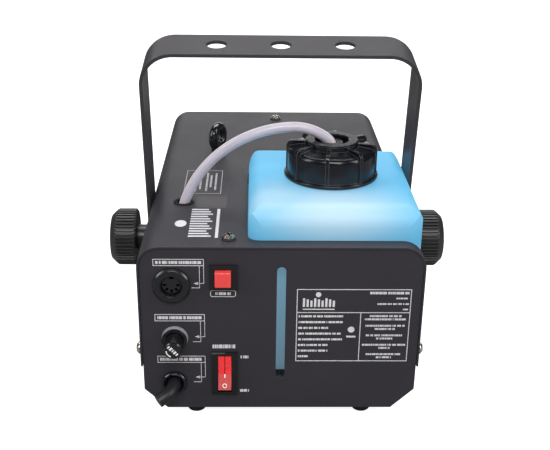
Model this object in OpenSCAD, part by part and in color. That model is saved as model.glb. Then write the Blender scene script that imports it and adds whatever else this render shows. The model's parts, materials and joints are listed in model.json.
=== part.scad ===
// Fog machine, 900 W class: folded steel body, lift-out fluid tank, clamp-knob yoke.
// Frame: +X to the right seen from the control panel, +Y from control panel to nozzle, +Z up.
// Origin: centre of the bounding box in plan, at the bottom of the feet.

/* [Body] */
// Width over the cover sides
body_w = 176; // [170:1:190]
// Depth from control panel to front panel
body_d = 286; // [280:1:300]
// Height from the tray's underside to the top of the cover
body_h = 114; // [112:1:118]
// Radius of the cover's long top edges
shoulder_r = 14; // [10:1:16]
// Steel sheet thickness
sheet = 1.2; // [1:0.1:1.5]
// Height of the cover's side edges above the tray's underside
cover_z = 31; // [28:1:34]
// Height of the tray's bottom corner bevel
bevel_z = 14; // [12:1:16]
// Width of the tray's bottom corner bevel
bevel_x = 14.5; // [12:0.5:16]

/* [Feet] */
// Height of a rubber foot
foot_h = 7; // [6:0.5:9]
// Sideways distance of a foot from the middle
foot_x = 54; // [50:1:60]
// Radius of a rubber foot
foot_r = 6.4; // [5.5:0.1:7]

/* [Tank] */
// Left side of the tank
tank_x0 = -20.6; // [-20.6:0.1:-19]
// Outer side of the tank's upper shoulder
tank_x1 = 87.4; // [86:0.1:87.4]
// Outer side of the tank's lower body
tank_x2 = 74; // [70:0.5:74]
// Side of the tank next to the control panel
tank_y0 = 11.3; // [11.3:0.1:13]
// Side of the tank next to the heater
tank_y1 = 131.2; // [128:0.1:131.2]
// Underside of the tank
tank_z0 = 18; // [18:0.5:22]
// Top face of the tank
tank_z1 = 134; // [130:0.5:134]
// Underside of the overhanging shoulder
tank_zs = 98.5; // [98.5:0.5:101]
// Tank wall thickness
tank_wall = 1.8; // [1.4:0.1:2.4]

/* [Cap] */
// Cap centre, sideways
cap_x = 33.8; // [33:0.1:35]
// Cap centre, along the body
cap_y = 71.8; // [71:0.1:73]
// Radius of the cap's bottom flange
cap_r = 30.9; // [30:0.1:31.5]
// Height of the cap
cap_h = 24.5; // [24:0.5:26]
// Number of grip ribs on the cap
cap_ribs = 8; // [6:1:12]

/* [Fluid tube] */
// Outer radius of the tube
tube_r = 3.4; // [3.2:0.1:3.5]
// Inner radius of the tube
tube_ri = 2.2; // [2.2:0.05:2.4]
// Radius of the tube's arch over the cover
arch_r = 78.2; // [77.8:0.1:78.6]

/* [Yoke] */
// Height of the tilt axis above the tray's underside
pivot_z = 71.6; // [70:0.2:74]
// Distance of the tilt axis from the control panel
pivot_y = 110.4; // [108:0.2:114]
// Tilt of the yoke towards the control panel, degrees
yoke_tilt = 9.4; // [0:0.2:12]
// Length from the tilt axis to the outside of the bar
yoke_len = 147.5; // [146:0.5:150]
// Width of the strap
strap_w = 33.5; // [30:0.5:34]
// Thickness of the strap
strap_t = 2.3; // [2:0.1:2.5]
// Outer bend radius of the yoke's corners
yoke_r = 22; // [20:0.5:26]
// Radius of the bar's mounting holes
bar_hole_r = 6.65; // [6:0.05:7]
// Distance between the bar's mounting holes
bar_pitch = 41.3; // [40:0.1:44]

/* [Knobs] */
// Outer radius of a clamp knob
knob_r = 20.4; // [19:0.1:21]
// Thickness of a knob's fluted rim
knob_t = 18.1; // [16:0.1:19]
// Number of flutes
flutes = 48; // [36:1:60]
// Radius of a knob's stud
stud_r = 3; // [3:0.1:3]

/* [Nozzle] */
// Height of the nozzle above the tray's underside
nozzle_z = 60; // [60:1:60]
// Radius of the nozzle's guard ring
guard_r = 21; // [18:0.5:24]

/* [Hidden] */
$fn = 72;

// Parts are drawn from the control panel (y = 0) and the tray's underside (z = 0).
mid_y = 139.509;              // plan centre of the bounding box
play = 0.3;                   // gap between nested sheet parts
half_w = body_w / 2;
cover_in = half_w - sheet;    // inner half width of the cover
tray_out = cover_in - play;   // outer half width of tray and panels
tray_in = tray_out - sheet;
panel_top = body_h - sheet - play;

// Places of shared axes: [x, y] seen from above, [x, z] along Y, [y, z] along X
side_screw_y = [6, body_d - 12];
side_screw_z = 41;
top_screws = [[-32.4, 12.6], [1.4, body_d - 20.7]];
top_washer_t = 0.6;
cap_at = [cap_x, cap_y];
tube_hole_at = [-63.8, cap_y];
eye_at = [-45, 180];
pivot_at = [pivot_y, pivot_z];
remote_at = [-67, 88.6];
fuse_at = [-66, 51.5];
cord_at = [-67.1, 19.5];
pump_x = -67.5;
pump_z = 60;
pump_at = [pump_x, pump_z];
nozzle_at = [0, nozzle_z];

// Colours used by more than one node
black = [0.05, 0.05, 0.05];
switch_black = [0.05, 0.05, 0.055];
cap_black = [0.06, 0.06, 0.065];
knob_black = [0.1, 0.1, 0.1];
dark_steel = [0.13, 0.12, 0.14];
grey_steel = [0.6, 0.6, 0.62];

// ---- helpers; a span is [start, end] ----
module place() { translate([0, -mid_y, foot_h]) children(); }
module both_sides() { for (s = [0, 1]) mirror([s, 0, 0]) children(); }
// children stand up from z over the plan point at
module upright(at, z) { translate([at[0], at[1], z]) children(); }
// children's +Z axis turned to +Y, starting at y
module along_y(at, y = 0) { translate([at[0], y, at[1]]) rotate([-90, 0, 0]) children(); }
module box(x, y, z) {
  translate([x[0], y[0], z[0]]) cube([x[1] - x[0], y[1] - y[0], z[1] - z[0]]);
}
module rod_x(radius, span, at = [0, 0]) {
  translate([span[0], at[0], at[1]]) rotate([0, 90, 0]) cylinder(r = radius, h = span[1] - span[0]);
}
module rod_y(radius, span, at = [0, 0]) {
  along_y(at, span[0]) cylinder(r = radius, h = span[1] - span[0]);
}
module rod_z(radius, span, at = [0, 0]) {
  upright(at, span[0]) cylinder(r = radius, h = span[1] - span[0]);
}
module cone(low_r, high_r, span) {
  translate([0, 0, span[0]]) cylinder(r1 = low_r, r2 = high_r, h = span[1] - span[0]);
}
module ring(outer_r, inner_r, height) {
  difference() {
    cylinder(r = outer_r, h = height);
    rod_z(inner_r, [-1, height + 1]);
  }
}
module hex_nut(outer_r, height, bore_r) {
  difference() {
    cylinder(r = outer_r, h = height, $fn = 6);
    rod_z(bore_r, [-1, height + 1]);
  }
}
// a flat shape drawn in Y and Z, run along X
module prism_x(span) {
  translate([span[0], 0, 0]) rotate([90, 0, 90]) linear_extrude(span[1] - span[0]) children();
}
// a flat shape drawn in X and Z, run along Y
module prism_y(span) {
  translate([0, span[1], 0]) rotate([90, 0, 0]) linear_extrude(span[1] - span[0]) children();
}
module prism_z(span) {
  translate([0, 0, span[0]]) linear_extrude(span[1] - span[0]) children();
}
// rectangle with round corners
module round_rect(x, y, radius) {
  translate([x[0] + radius, y[0]]) square([x[1] - x[0] - 2 * radius, y[1] - y[0]]);
  translate([x[0], y[0] + radius]) square([x[1] - x[0], y[1] - y[0] - 2 * radius]);
  for (px = [x[0] + radius, x[1] - radius], py = [y[0] + radius, y[1] - radius])
    translate([px, py]) circle(radius);
}
// the same, with one radius at the low side in y and one at the high side
module round_rect_2(x, y, low_r, high_r) {
  width = x[1] - x[0];
  depth = y[1] - y[0];
  translate([x[0], y[0] + low_r]) square([width, depth - low_r - high_r]);
  translate([x[0] + low_r, y[0]]) square([width - 2 * low_r, depth - high_r]);
  translate([x[0] + high_r, y[0] + low_r]) square([width - 2 * high_r, depth - low_r]);
  for (px = [x[0] + low_r, x[1] - low_r]) translate([px, y[0] + low_r]) circle(low_r);
  for (px = [x[0] + high_r, x[1] - high_r]) translate([px, y[1] - high_r]) circle(high_r);
}
// pan-head screw with a cross recess, head up, its seat at z = 0
module pan_screw(head_r, head_h, shank_r, length) {
  difference() {
    union() {
      rod_z(shank_r, [-length, 0.5]);
      cylinder(r = head_r, h = head_h * 0.45);
      cone(head_r, head_r * 0.62, [head_h * 0.45, head_h]);
    }
    for (a = [0, 90]) rotate([0, 0, a + 20])
      translate([-head_r * 0.58, -head_r * 0.13, head_h * 0.4])
        cube([head_r * 1.16, head_r * 0.26, head_h]);
  }
}

// ---- sheet metal ----
top_tab_z = [panel_top - sheet, panel_top];

// U outline with bevelled lower corners, for tray and panels
module tray_outline(half, bottom, top) {
  side_z = bevel_z - (tray_out - half) * 0.2 + bottom * 0.4;
  base_x = half - bevel_x + bottom * 0.4;
  polygon([[-half, top], [-half, side_z], [-base_x, bottom],
    [base_x, bottom], [half, side_z], [half, top]]);
}
module panel_outline() {
  corner_r = shoulder_r - sheet - play;
  tray_outline(tray_out, 0, panel_top - corner_r);
  difference() {
    round_rect([-tray_out, tray_out], [60, panel_top], corner_r);
    translate([-tray_out - 1, 59]) square([2 * tray_out + 2, 20]);
  }
}
// rectangle with its two top corners round
module cover_section(half, top, radius, bottom) {
  translate([-half, bottom]) square([2 * half, top - radius - bottom]);
  translate([-half + radius, bottom]) square([2 * (half - radius), top - bottom]);
  for (s = [-1, 1]) translate([s * (half - radius), top - radius]) circle(radius);
}
module side_tabs(y) {
  both_sides() box([tray_in - sheet - 0.1, tray_in - 0.1], y, [34, 56]);
}
module side_screw_holes() {
  both_sides() for (y = side_screw_y) rod_x(2, [tray_in - 3, half_w + 1], [y, side_screw_z]);
}
module top_screw_holes() {
  for (at = top_screws) rod_z(2, [body_h - 5, body_h + 1], at);
}

module base_tray() {
  color(dark_steel) place() difference() {
    prism_y([sheet, body_d - sheet]) difference() {
      tray_outline(tray_out, 0, 56);
      tray_outline(tray_in, sheet, 60);
    }
    side_screw_holes();
    at_feet(-1) cylinder(r = 2.1, h = 4);
    // slots under the heater
    both_sides() for (i = [0:6]) box([18, 46], [160 + i * 14, 163 + i * 14], [-1, 3]);
  }
}
module control_panel() {
  // upright slot with round ends
  slot_r = 2.8;
  slot_x = 0.05;
  slot_z = [24.6, 97.9];
  color([0.2, 0.19, 0.21]) place() difference() {
    union() {
      prism_y([0, sheet]) panel_outline();
      box([-43, -24.5], [sheet, 21], top_tab_z);
      side_tabs([sheet, 12]);
    }
    rod_y(8.2, [-1, 3], remote_at);
    rod_y(6.3, [-1, 3], fuse_at);
    rod_y(6.6, [-1, 3], cord_at);
    // openings for the fog and power switches
    box([-42.4, -28.4], [-1, 3], [87.4, 100.6]);
    box([-41.4, -28.6], [-1, 3], [12.1, 40.4]);
    prism_y([-1, 3]) {
      translate([slot_x - slot_r, slot_z[0]]) square([2 * slot_r, slot_z[1] - slot_z[0]]);
      for (z = slot_z) translate([slot_x, z]) circle(slot_r);
    }
    top_screw_holes();
    side_screw_holes();
  }
}
module front_panel() {
  hole_y = [body_d - 3, body_d + 1];
  color(dark_steel) place() difference() {
    union() {
      prism_y([body_d - sheet, body_d]) panel_outline();
      box([-14, 14], [body_d - 30, body_d - sheet], top_tab_z);
      side_tabs([body_d - 20, body_d - sheet]);
    }
    rod_y(8.6, hole_y, nozzle_at);
    at_guard_pins() rod_y(1.5, hole_y);
    // rows of round-ended slots
    both_sides() prism_y(hole_y) for (i = [0:5]) {
      translate([40, 36 + i * 8]) square([32, 3]);
      for (x = [40, 72]) translate([x, 37.5 + i * 8]) circle(1.5);
    }
    top_screw_holes();
    side_screw_holes();
  }
}
module top_cover() {
  opening_y = [9.8, 132.4];
  hole_z = [body_h - 4, body_h + 1];
  color([0.38, 0.36, 0.38]) place() difference() {
    prism_y([-0.5, body_d + 0.5]) difference() {
      cover_section(half_w, body_h, shoulder_r, cover_z);
      cover_section(cover_in, body_h - sheet, shoulder_r - sheet, cover_z - 5);
    }
    // tank opening, over the top and down the right shoulder
    intersection() {
      prism_z([90, 130]) round_rect([-21.4, 120], opening_y, 8.5);
      prism_x([-30, 130]) round_rect(opening_y, [97.5, 160], 8);
    }
    rod_z(5.6, hole_z, tube_hole_at);
    rod_z(3.1, hole_z, eye_at);
    both_sides() rod_x(5.05, [cover_in - 2, half_w + 1], pivot_at);
    side_screw_holes();
    top_screw_holes();
  }
}
module cover_side_screws() {
  color("silver") place() for (s = [-1, 1], y = side_screw_y)
    translate([s * half_w, y, side_screw_z]) rotate([0, s * 90, 0]) pan_screw(4, 2.8, 1.95, 7);
}
module cover_top_screws() {
  color("silver") place() for (at = top_screws)
    upright(at, body_h + top_washer_t) pan_screw(4, 2.4, 1.95, 7);
}
module screw_washers() {
  color(black) place() for (at = top_screws) upright(at, body_h) ring(4.8, 2, top_washer_t);
}

// ---- feet ----
foot_recess = 3.2; // depth of the screw head's recess

module at_feet(z) {
  for (x = [-foot_x, foot_x], y = [11, body_d - 14]) translate([x, y, z]) children();
}
module rubber_feet() {
  color([0.07, 0.07, 0.07]) place() at_feet(-foot_h) difference() {
    union() {
      cone(foot_r - 1, foot_r - 0.4, [0, 0.9]);
      cone(foot_r - 0.4, foot_r, [0.9, foot_h]);
    }
    rod_z(4, [-1, foot_recess]);
    rod_z(2.05, [2, foot_h + 2]);
  }
}
module foot_screws() {
  color("silver") place() at_feet(foot_recess - foot_h) rotate([180, 0, 0])
    pan_screw(3.5, 2, 2, 8.5);
}

// ---- tank ----
neck_top = tank_z1 + 14;
cap_z = tank_z1 + 0.6; // underside of the cap's flange

// tank shape with all faces moved inwards by inset
module tank_form(inset) {
  x = [tank_x0 + inset, tank_x1 - inset];
  y = [tank_y0 + inset, tank_y1 - inset];
  z = [tank_z0 + inset, tank_z1 - inset];
  intersection() {
    prism_z([tank_z0 - 1, tank_z1 + 1]) round_rect_2(x, y, 9.5 - inset, 14 - inset);
    prism_x([tank_x0 - 1, tank_x1 + 1]) round_rect_2(y, z, 8 - inset, 12 - inset);
    prism_y([tank_y0 - 1, tank_y1 + 1]) {
      round_rect([x[0], tank_x2 - inset], [z[0], tank_z1 - 12], 8 - inset);
      round_rect_2(x, [tank_zs + inset, z[1]], 9 - inset, 12 - inset);
    }
  }
}
module tank() {
  color([0.45, 0.8, 0.97]) place() difference() {
    union() {
      tank_form(0);
      rod_z(23.5, [tank_z1 - 1, neck_top], cap_at);
      // raised rings round the neck
      for (z = [4.5, 8.5]) rod_z(24.5, [tank_z1 + z, tank_z1 + z + 1.6], cap_at);
    }
    tank_form(tank_wall);
    rod_z(20.5, [tank_z1 - 5, tank_z1 + 20], cap_at);
  }
}
module fog_fluid() {
  color([0.3, 0.7, 0.95]) place() difference() {
    intersection() {
      tank_form(tank_wall + 0.15);
      box([-100, 100], [0, 200], [0, tank_z1 - 6]);
    }
    // clear of the suction filter and pickup tube
    rod_z(10.5, [0, 200], cap_at);
  }
}
// quarter circle from +x to +y round a centre
function quarter_arc(x, y, radius) =
  [for (i = [0:6]) [x + radius * cos(90 * i / 6), y + radius * sin(90 * i / 6)]];
module tank_cap() {
  rib_t = 2.2;
  color(cap_black) place() upright(cap_at, cap_z) difference() {
    union() {
      // profile of radius and height
      rotate_extrude() polygon(concat(
        [[0, 0], [cap_r - 0.6, 0], [cap_r, 0.6], [cap_r, 2], [cap_r - 0.5, 2.6], [28.8, 2.9]],
        quarter_arc(25, 15.6, 3.8),
        [[17.6, 20.6], [17.4, cap_h - 0.7], [16.7, cap_h], [0, cap_h]]));
      for (i = [0:cap_ribs - 1]) rotate([0, 0, i * 360 / cap_ribs - 99.5])
        translate([0, rib_t / 2, 0]) rotate([90, 0, 0]) linear_extrude(rib_t)
          polygon(concat(
            [[26.5, 1.5], [29.9, 1.5]],
            quarter_arc(25.7, 18.2, 4.2),
            [[16, 22.6], [16, 18], [26.5, 16]]));
    }
    rod_z(25.1, [-1, 16]);
    cylinder(r = 11, h = 40);
    cone(11, 11.7, [cap_h - 0.6, cap_h + 0.1]);
  }
}
// gland: flange held under the cap's roof, with a hub that stands up in the cap's hole
module tube_gland() {
  color(switch_black) place() upright(cap_at, neck_top) difference() {
    union() {
      rod_z(22.5, [0.8, 2.5]);
      cylinder(r = 9.5, h = 5.2);
      cylinder(r = 7.1, h = 9.2);
      rod_z(5.5, [-8, 1]);
    }
    rod_z(3.45, [-9, 5]);
    // slot for the tube's slanted entry
    prism_z([4.8, 20]) {
      circle(3.5);
      translate([-2.75, 0]) circle(3.5);
      translate([-2.75, -3.5]) square([2.75, 7]);
    }
    for (a = [0:90:270]) rotate([0, 0, a + 45]) translate([8.1, -0.9, 3.4]) cube([3, 1.8, 3]);
  }
}
module cap_seal() {
  color([0.75, 0.75, 0.72]) place() upright(cap_at, neck_top) ring(23.4, 9.6, 0.8);
}
module pickup_tube() {
  color([0.9, 0.9, 0.92]) place() difference() {
    rod_z(tube_r, [tank_z0 + 16, neck_top], cap_at);
    rod_z(tube_ri, [tank_z0, tank_z1 + 20], cap_at);
  }
}
module suction_filter() {
  color([0.7, 0.55, 0.3]) place() upright(cap_at, tank_z0 + 5) difference() {
    union() {
      cone(8, 9, [0, 2]);
      rod_z(9, [2, 14]);
      cone(9, 5.5, [14, 18]);
      rod_z(5.5, [18, 24]);
    }
    rod_z(tube_r, [11, 31]);
    rod_z(tube_ri, [2, 14]);
  }
}

// ---- fluid tube: pump, up through the cover, arch, down into the gland ----
// three tangent bends; the last one turns down onto the cap's axis
elbow_r = 12;
arch_x = pump_x + arch_r;
arch_z = 88.7;
arch_end = 92.7; // angle where the arch meets the crest
crest_r = 35.4;
end_r = 8;
crest_x = arch_x + (arch_r - crest_r) * cos(arch_end);
crest_z = arch_z + (arch_r - crest_r) * sin(arch_end);
crest_end = acos((cap_x - end_r - crest_x) / (crest_r - end_r));
end_z = crest_z + (crest_r - end_r) * sin(crest_end);
bend_gap = 0.02; // lengths stop a hair short of each other

// one length of bent bar
module bend(centre_r, angle, radius) {
  gap_angle = bend_gap / centre_r * 57.3;
  rotate([0, 0, gap_angle / 2]) rotate_extrude(angle = angle - gap_angle)
    translate([centre_r, 0]) circle(radius, $fn = 36);
}
// tube bend in the upright plane through the cap's axis
module tube_bend(x, z, centre_r, start, end) {
  translate([x, cap_y, z]) rotate([90, 0, 0]) rotate([0, 0, start])
    bend(centre_r, end - start, tube_r);
}
module feed_tube() {
  elbow_y = cap_y + elbow_r;
  color([0.87, 0.87, 0.9]) place() {
    difference() {
      rod_y(tube_r, [elbow_y, cap_y + 22], pump_at);
      rod_y(tube_ri, [elbow_y + 0.6, cap_y + 23], pump_at);
    }
    translate([pump_x, elbow_y, pump_z + elbow_r]) rotate([90, 0, 90]) rotate([0, 0, 180])
      bend(elbow_r, 90, tube_r);
    rod_z(tube_r, [pump_z + elbow_r, arch_z], [pump_x, cap_y]);
    tube_bend(arch_x, arch_z, arch_r, arch_end, 180);
    tube_bend(crest_x, crest_z, crest_r, crest_end, arch_end);
    tube_bend(cap_x - end_r, end_z, end_r, 0, crest_end);
    difference() {
      rod_z(tube_r, [neck_top + 0.4, end_z], cap_at);
      rod_z(tube_ri, [neck_top, end_z - 0.6], cap_at);
    }
  }
}
module tube_grommet() {
  // profile of radius and height, with a groove for the cover's sheet
  color(black) place() upright(tube_hole_at, body_h) rotate_extrude() polygon([
    [4.7, -3], [6.6, -3], [6.9, -2.6], [6.9, -sheet - 0.02], [5.5, -sheet - 0.02],
    [5.5, 0.02], [6.9, 0.02], [6.6, 0.7], [5.4, 1.1], [4.7, 0.5]]);
}

// ---- tank bay ----
module tank_bay() {
  left = -23.5;
  right = tank_x2 + 2;
  length = [3, 134];
  back = [133, 134]; // wall next to the heater
  top = 104;
  color(grey_steel) place() difference() {
    union() {
      box([left, right], length, [14, 15]);
      box([left, left + 1], length, [sheet, top]);
      box([left, tank_x2 - 6], back, [sheet, top]);
      box([tank_x2 - 7, right], back, [bevel_z - 5, top]);
      box([right - 1, right], length, [bevel_z + 3, 44]);
      box([left + 1, -12], length, [sheet, sheet + 1]);
    }
    for (y = [30, 100]) rod_z(1.75, [0, 4], [-17, y]);
  }
}
module tank_pad() {
  color([0.12, 0.12, 0.12]) place() prism_z([15, tank_z0]) round_rect([-16, 70], [16, 127], 6);
}

// ---- safety eye ----
module safety_eye() {
  color([0.04, 0.04, 0.045]) place() upright(eye_at, body_h) rotate([0, 0, -26]) {
    cylinder(r = 5.2, h = 2.2);
    rod_z(2.95, [-9, 3]);
    translate([0, 0, 11.3]) rotate([0, 90, 0]) rotate_extrude()
      translate([7.7, 0]) circle(3.4, $fn = 48);
  }
}
module safety_eye_nut() {
  color("silver") place() upright(eye_at, body_h - sheet - 4) hex_nut(5.77, 4, 3);
}

// ---- yoke and knobs ----
yoke_in = half_w + play;       // inner face of the yoke's legs
yoke_out = yoke_in + strap_t;
washer_t = 1.2;
knob_in = 100.8;               // inner face of a knob's rim
stud_in = cover_in - 4.6;      // inner end of stud and nut
stud_out = knob_in + 12;
stud_bore = stud_r + 0.07;

module yoke() {
  color([0.3, 0.28, 0.3]) place() translate([0, pivot_y, pivot_z]) rotate([yoke_tilt, 0, 0])
    difference() {
      intersection() {
        prism_y([-strap_w / 2, strap_w / 2]) difference() {
          cover_section(yoke_out, yoke_len, yoke_r, -strap_w / 2);
          cover_section(yoke_in, yoke_len - strap_t, yoke_r - strap_t, -strap_w);
        }
        // rounds the legs' lower ends
        prism_x([-120, 120]) {
          circle(strap_w / 2, $fn = 96);
          translate([-strap_w / 2, 0]) square([strap_w, 200]);
        }
      }
      both_sides() rod_x(stud_bore, [yoke_in - 1, yoke_out + 1]);
      for (i = [-1:1]) rod_z(bar_hole_r, [yoke_len - 6, yoke_len + 1], [i * bar_pitch, 0]);
    }
}
// knob, stud and washer are drawn on the +X side
module knob() {
  root_r = knob_r - 0.85;
  // four corners of each flute: part of the pitch, radius
  flute = [[0, knob_r], [0.32, knob_r], [0.5, root_r], [0.82, root_r]];
  place() translate([0, pivot_y, pivot_z]) difference() {
    union() {
      intersection() {
        prism_x([knob_in, knob_in + knob_t]) polygon([
          for (i = [0:flutes - 1], corner = flute)
            let (angle = (i + corner[0]) * 360 / flutes)
              [corner[1] * cos(angle), corner[1] * sin(angle)]]);
        // profile that rounds the rim's edges
        translate([knob_in, 0, 0]) rotate([0, 90, 0]) rotate_extrude($fn = 96) polygon([
          [0, 0], [knob_r - 0.9, 0], [knob_r + 0.1, 1], [knob_r + 0.1, knob_t - 5.2],
          [knob_r - 1.2, knob_t - 3.4], [knob_r - 4.2, knob_t - 0.3],
          [knob_r - 4.8, knob_t], [0, knob_t]]);
      }
      rod_x(8.8, [yoke_out + washer_t, knob_in + 1]);
    }
    rod_x(stud_r + 0.01, [yoke_out, stud_out]);
    // shallow dish in the outer face
    rod_x(knob_r - 7.5, [knob_in + knob_t - 0.8, knob_in + knob_t + 2.2]);
  }
}
module stud() { place() rod_x(stud_r, [stud_in, stud_out], pivot_at); }
module pivot_washer() {
  place() difference() {
    rod_x(8.6, [yoke_out, yoke_out + washer_t], pivot_at);
    rod_x(stud_bore, [yoke_out - 1, yoke_out + 3], pivot_at);
  }
}
module right_knob() { color(knob_black) knob(); }
module left_knob() { color(knob_black) mirror([1, 0, 0]) knob(); }
module right_knob_stud() { color("silver") stud(); }
module left_knob_stud() { color("silver") mirror([1, 0, 0]) stud(); }
module right_washer() { color("silver") pivot_washer(); }
module left_washer() { color("silver") mirror([1, 0, 0]) pivot_washer(); }
module pivot_nuts() {
  color("silver") place() both_sides() difference() {
    union() {
      rod_x(5, [stud_in, half_w - 0.05], pivot_at);
      rod_x(7.5, [cover_in - 1.2, cover_in], pivot_at);
    }
    rod_x(stud_bore, [cover_in - 20, half_w + 2], pivot_at);
  }
}

// ---- control panel fittings ----
module remote_socket() {
  color(black) place() along_y(remote_at) difference() {
    union() {
      cone(10.4, 11.6, [-3, -1.8]);
      rod_z(11.6, [-1.8, 0]);
      cylinder(r = 7.9, h = 14);
    }
    rod_z(7.05, [-4, 16]);
  }
}
// disc inside a round groove, five contacts on its lower arc, keyway at the top
module remote_socket_insert() {
  contacts = [0:45:180];
  color([0.09, 0.09, 0.09]) place() translate([remote_at[0], 0, remote_at[1]])
    rotate([90, 0, 0]) difference() {
      union() {
        difference() {
          rod_z(7, [-11, 2.4]);
          rod_z(6.6, [0.4, 5.4]);
          translate([0, 0, -5]) ring(6.5, 5.7, 6);
        }
        for (a = contacts) translate([4.1 * cos(a), -4.1 * sin(a), -17])
          cylinder(r = 0.6, h = 7, $fn = 24);
      }
      for (a = contacts, r = [3.7, 4.5]) translate([r * cos(a), -r * sin(a), -3])
        cylinder(r = 0.8, h = 8, $fn = 24);
      translate([-1.3, 4.1, -3]) cube([2.6, 2.1, 6]);
    }
}
module socket_fuse_nuts() {
  // place, outer radius, height, bore radius
  nuts = [[remote_at, 11, 2.6, 7.95], [fuse_at, 9, 2.4, 6.15], [cord_at, 9, 2.4, 6.45]];
  color("silver") place() for (nut = nuts)
    along_y(nut[0], sheet) hex_nut(nut[1], nut[2], nut[3]);
}
module fuse_holder() {
  color([0.08, 0.08, 0.08]) place() along_y(fuse_at) difference() {
    union() {
      cone(6.9, 8.4, [-4.4, -1.4]);
      rod_z(8.4, [-1.4, 0]);
      cylinder(r = 6.1, h = 34);
      rod_z(4, [34, 36]);
      box([-2.4, 2.4], [-0.4, 0.4], [35, 43]);
    }
    rod_z(6.05, [-5, -1]);
    rod_z(5.1, [-1, 33]);
  }
}
module fuse_cap() {
  color([0.06, 0.06, 0.06]) place() along_y(fuse_at) difference() {
    union() {
      cone(5.1, 5.7, [-16.4, -15.6]);
      rod_z(5.7, [-15.6, -3.2]);
      rod_z(5.03, [-3.3, 6.7]);
      for (i = [0:19]) rotate([0, 0, i * 18]) translate([5.4, -0.3, -15.4]) cube([0.5, 0.6, 10]);
    }
    rod_z(3.25, [-1.3, 8.7]);
  }
}
module fuse() {
  color([0.85, 0.85, 0.85]) place() {
    rod_y(3.17, [-1.2, 5], fuse_at);
    rod_y(2.9, [5, 22], fuse_at);
    rod_y(3.17, [22, 28], fuse_at);
  }
}
module strain_relief() {
  color(cap_black) place() along_y(cord_at) difference() {
    union() {
      cone(7.2, 8, [-3.4, -2.5]);
      rod_z(8, [-2.5, 0]);
      cylinder(r = 6.4, h = 11);
    }
    rod_z(4.45, [-5, 15]);
    cone(6.4, 4.45, [-3.5, -1.1]);
  }
}
// the cord leaves along -Y, then droops to the lower left
module power_cord() {
  cord_r = 4.3;
  bend_r = 13;
  bend_angle = 60;
  roll = 66; // turn of the bend's plane towards the left
  end_len = 4;
  color(black) place() {
    rod_y(cord_r, [-3, 30], cord_at);
    translate([cord_at[0], -3, cord_at[1]]) rotate([0, roll, 0]) {
      translate([0, 0, -bend_r]) rotate([90, 0, 90]) rotate([0, 0, 90])
        bend(bend_r, bend_angle, cord_r);
      translate([0, -bend_r * sin(bend_angle), -bend_r * (1 - cos(bend_angle))])
        rotate([90 + bend_angle, 0, 0]) cylinder(r = cord_r, h = end_len);
    }
  }
}
module fog_switch_body() {
  color(switch_black) place() difference() {
    union() {
      box([-43.8, -26.6], [-1.8, 0], [85.8, 102.4]);
      box([-42.2, -28.6], [0, 17], [87.6, 100.4]);
      for (x = [-39.5, -31.3]) box([x - 0.4, x + 0.4], [17, 24], [92, 96]);
    }
    box([-40.7, -30.5], [-3, 14], [89, 99.4]);
  }
}
module fog_button() {
  color([0.85, 0.05, 0.06]) place() difference() {
    box([-40.5, -30.7], [-5.6, 7], [89.2, 99.2]);
    box([-39, -32.2], [-3.6, 8], [90.7, 97.7]);
  }
}
module button_spring() {
  spring_at = [-35.6, 94.2];
  color("silver") place() difference() {
    rod_y(2.6, [-3.5, 13.9], spring_at);
    rod_y(2, [-5, 20], spring_at);
  }
}

// the rocker turns on a pin along X
rocker_x = -35;
rocker_pin = [5, 26.25];

module power_switch_body() {
  rim_z = [10.9, 41.6];
  color(switch_black) place() difference() {
    union() {
      difference() {
        box([-43.2, -26.8], [-2, 0], rim_z);
        // bevels on the left part of the rim's lower and upper edges
        for (z = rim_z) translate([rocker_x - 20, -2, z]) rotate([45, 0, 0])
          cube([40, 1, 1], center = true);
      }
      box([-41.2, -28.8], [0, 20], [12.3, 40.2]);
      for (z = [18, 26.2, 34.4]) box([-37.5, -32.5], [20, 28], [z - 0.4, z + 0.4]);
    }
    box([-39.5, -30.5], [-4, 17], [12.9, 39.6]);
    rod_x(1.25, [-40.4, -29.6], rocker_pin);
  }
}
// rocker: shallow V front, pressed in at the top in the rest position
module power_rocker() {
  color([0.9, 0.1, 0.08]) place() translate([rocker_x, rocker_pin[0], rocker_pin[1]])
    rotate([-11, 0, 0]) {
      difference() {
        prism_x([-4.1, 4.1]) polygon([[-7, 0], [-9.2, 11.2], [-1.5, 11.2], [3, 4], [3, -4],
          [-1.5, -11.2], [-9.2, -11.2]]);
        // centre line of the upper half
        translate([-0.2, -9.5, 1.2]) rotate([11, 0, 0]) cube([0.4, 1, 9.6]);
      }
      rod_x(1.2, [-5.3, 5.3]);
      // raised bar and ring marks on the lower half
      translate([0, -7, 0]) rotate([-11.1, 0, 0]) {
        box([-0.35, 0.35], [-0.18, 0.2], [-3.4, -1.2]);
        translate([0, 0.1, -8.6]) rotate([90, 0, 0]) ring(1.5, 0.95, 0.28);
      }
    }
}

// ---- pump ----
pump_base = pump_z - 15.5;  // underside of the frame
pump_mount_y = [112, 130];  // bushes under the frame
bracket_y = [102, 140];
bracket_top = 38.2;
coil_bore = 8.05;

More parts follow.
